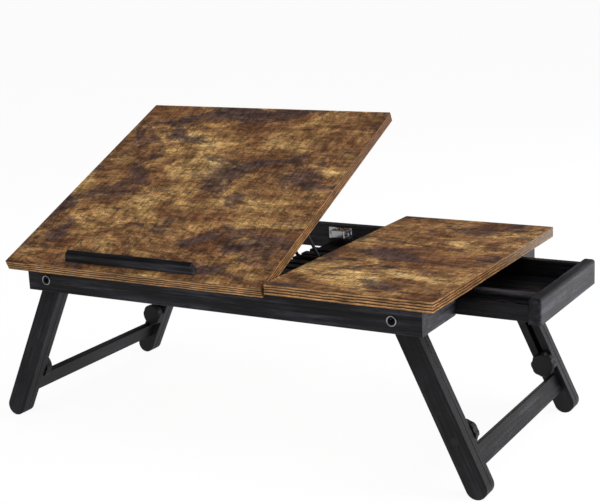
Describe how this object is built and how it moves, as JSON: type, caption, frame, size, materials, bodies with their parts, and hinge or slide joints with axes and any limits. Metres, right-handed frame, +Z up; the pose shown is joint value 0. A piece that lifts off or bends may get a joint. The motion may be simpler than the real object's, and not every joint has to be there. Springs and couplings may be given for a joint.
{
  "type": "laptop stand with drawer",
  "caption": "Low folding lap table with a tilting top on a wire prop, a fixed top beside it, a side drawer with a pen trough, and splayed legs with sliding extensions.",
  "frame": {"origin": "middle of the footprint's bounding box, at floor level, with the top tilted and the drawer half open as at rest", "axes": "+X along the table to the end where the drawer slides out, +Y from the user's side to the back, +Z up"},
  "size_m": [0.6748, 0.3538, 0.352],
  "materials": {
    "printed_board": "satin",
    "dark_wood": "satin",
    "dowel_wood": "matte",
    "dark_metal": "satin",
    "bright_metal": "polished",
    "steel": "satin",
    "knob_plastic": "matte"
  },
  "bodies": {
    "frame": {"fixed_top": "printed_board", "front_rail": "dark_wood", "back_rail": "dark_wood", "left_end_rail": "dark_wood", "right_end_rail_front": "dark_wood", "right_end_rail_back": "dark_wood", "prop_rack": "dark_wood", "top_batten": "dark_wood", "drawer_runner_near": "dark_metal", "drawer_runner_far": "dark_metal", "drawer_guide_near": "dark_wood", "drawer_guide_far": "dark_wood", "drawer_stop_block": "dark_wood", "frame_dowels": "dowel_wood", "frame_screws": "steel", "pivot_bolts": "bright_metal", "pivot_washers": "steel", "pivot_nuts": "steel", "left_hinge_frame_leaf": "steel", "right_hinge_frame_leaf": "steel", "hinge_pins": "steel", "hinge_frame_screws": "steel", "catch_housing": "bright_metal"},
    "lifting_top": {"tilting_top": "printed_board", "stop_bar": "dark_wood", "left_hinge_panel_leaf": "steel", "right_hinge_panel_leaf": "steel", "hinge_panel_screws": "steel", "panel_screws": "steel", "prop_bracket_left": "steel", "prop_bracket_right": "steel", "catch_keeper": "bright_metal"},
    "prop": {"prop_wire": "steel"},
    "catch": {"catch_bolt": "bright_metal"},
    "drawer": {"drawer_front": "dark_wood", "drawer_back": "dark_wood", "drawer_far_side": "dark_wood", "drawer_near_side": "dark_wood", "drawer_divider": "dark_wood", "drawer_floor": "dark_wood", "drawer_stop_peg": "dowel_wood"},
    "left_legs": {"left_front_leg": "dark_wood", "left_back_leg": "dark_wood", "left_clamp_bolts": "steel"},
    "left_feet": {"left_front_extension": "dark_wood", "left_back_extension": "dark_wood", "left_crossbar": "dark_wood", "left_guide_pins": "steel"},
    "left_front_clamp": {"left_front_knob": "knob_plastic"},
    "left_back_clamp": {"left_back_knob": "knob_plastic"},
    "right_legs": {"right_front_leg": "dark_wood", "right_back_leg": "dark_wood", "right_clamp_bolts": "steel"},
    "right_feet": {"right_front_extension": "dark_wood", "right_back_extension": "dark_wood", "right_crossbar": "dark_wood", "right_guide_pins": "steel"},
    "right_front_clamp": {"right_front_knob": "knob_plastic"},
    "right_back_clamp": {"right_back_knob": "knob_plastic"}
  },
  "joints": [
    {"name": "top_tilt", "type": "hinge", "parent": "frame", "child": "lifting_top", "pos_m": [-0.11161, -0.16199, 0.20319], "axis": [1, 0, 0], "range_deg": [-24, 7]},
    {"name": "prop_swing", "type": "hinge", "parent": "lifting_top", "child": "prop", "pos_m": [-0.01361, -0.00289, 0.26872], "axis": [1, 0, 0], "range_deg": [-23, 77]},
    {"name": "catch_slide", "type": "slide", "parent": "frame", "child": "catch", "axis": [1, 0, 0], "range_m": [0, 0.004]},
    {"name": "drawer_slide", "type": "slide", "parent": "frame", "child": "drawer", "axis": [1, 0, 0], "range_m": [-0.0802, 0.0378]},
    {"name": "left_leg_fold", "type": "hinge", "parent": "frame", "child": "left_legs", "pos_m": [-0.24251, 0, 0.18644], "axis": [0, 1, 0], "range_deg": [-115.4, 0]},
    {"name": "right_leg_fold", "type": "hinge", "parent": "frame", "child": "right_legs", "pos_m": [0.20909, 0, 0.18644], "axis": [0, -1, 0], "range_deg": [-115.4, 0]},
    {"name": "left_foot_slide", "type": "slide", "parent": "left_legs", "child": "left_feet", "axis": [-0.4289, 0, -0.9033], "range_m": [0, 0.078]},
    {"name": "right_foot_slide", "type": "slide", "parent": "right_legs", "child": "right_feet", "axis": [0.4289, 0, -0.9033], "range_m": [0, 0.078]},
    {"name": "left_front_knob_turn", "type": "hinge", "parent": "left_legs", "child": "left_front_clamp", "pos_m": [-0.30256, -0.1175, 0.05998], "axis": [0, 1, 0], "continuous": true},
    {"name": "left_back_knob_turn", "type": "hinge", "parent": "left_legs", "child": "left_back_clamp", "pos_m": [-0.30256, 0.1213, 0.05998], "axis": [0, 1, 0], "continuous": true},
    {"name": "right_front_knob_turn", "type": "hinge", "parent": "right_legs", "child": "right_front_clamp", "pos_m": [0.26914, -0.1175, 0.05998], "axis": [0, 1, 0], "continuous": true},
    {"name": "right_back_knob_turn", "type": "hinge", "parent": "right_legs", "child": "right_back_clamp", "pos_m": [0.26914, 0.1213, 0.05998], "axis": [0, 1, 0], "continuous": true}
  ],
  "couplings": [
    {"joint": "prop_swing", "follows": "top_tilt", "ratio": -3.1972}
  ]
}
